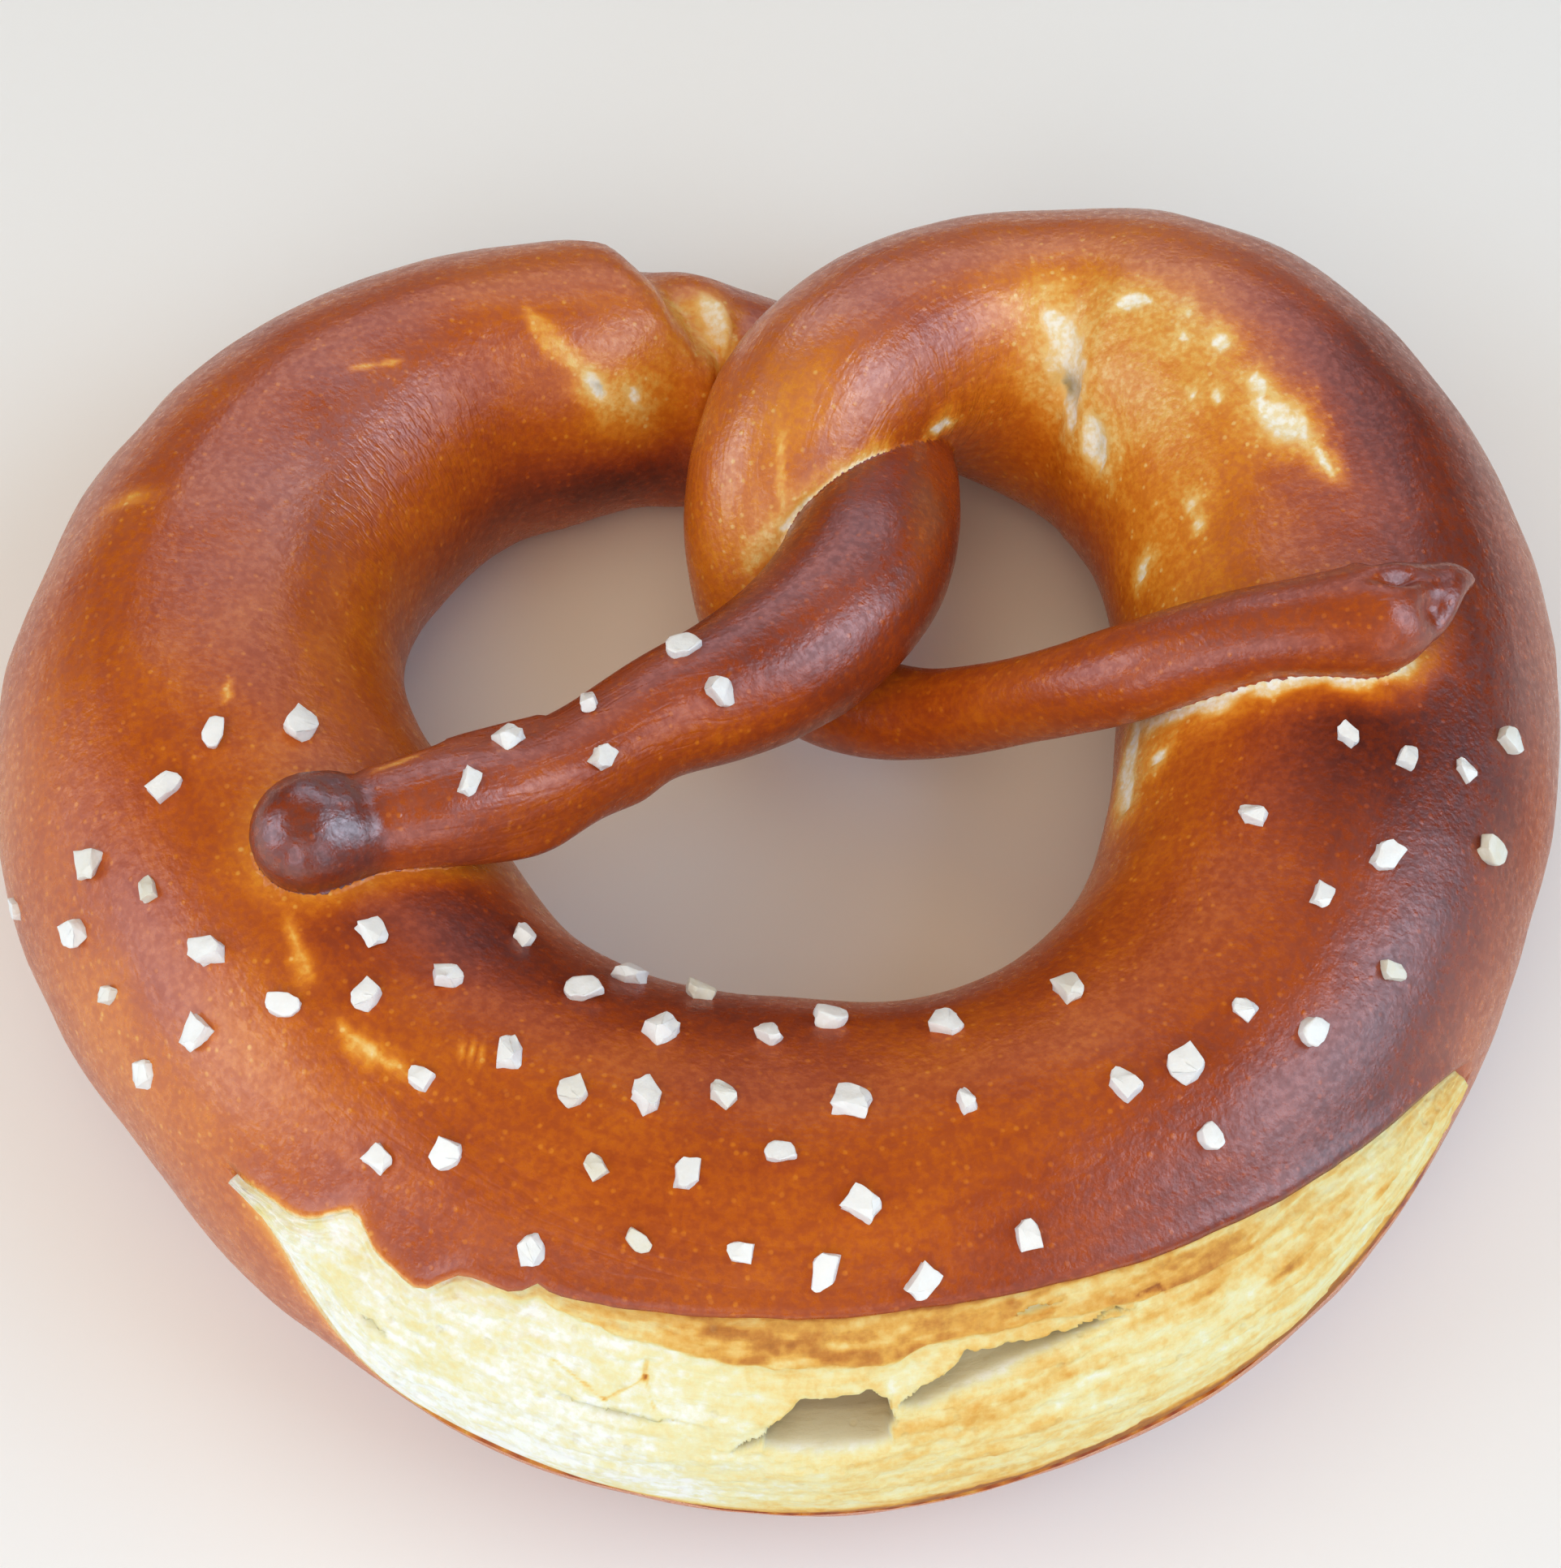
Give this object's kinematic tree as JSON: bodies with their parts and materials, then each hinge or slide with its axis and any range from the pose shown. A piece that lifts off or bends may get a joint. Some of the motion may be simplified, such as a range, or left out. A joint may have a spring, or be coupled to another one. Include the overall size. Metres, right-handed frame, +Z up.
{
  "type": "soft pretzel",
  "caption": "Baked rope of dough looped and twisted into a knot, thick belly burst open at the front, thin ends laid over, coarse salt on its glossy brown crust.",
  "frame": {"origin": "centre of the outline, on the plane the pretzel rests on", "axes": "+Z up, +Y from the thick belly towards the twist at the back, +X to the right seen from the belly"},
  "size_m": [0.1505, 0.1385, 0.0466],
  "materials": {
    "crust": "satin, mahogany to amber baked crust with fine wrinkles",
    "crumb": "matt, torn pale bread with toasted streaks",
    "salt": "matt, white coarse crystals"
  },
  "bodies": {
    "root": {"pretzel": "crust"}
  },
  "joints": []
}
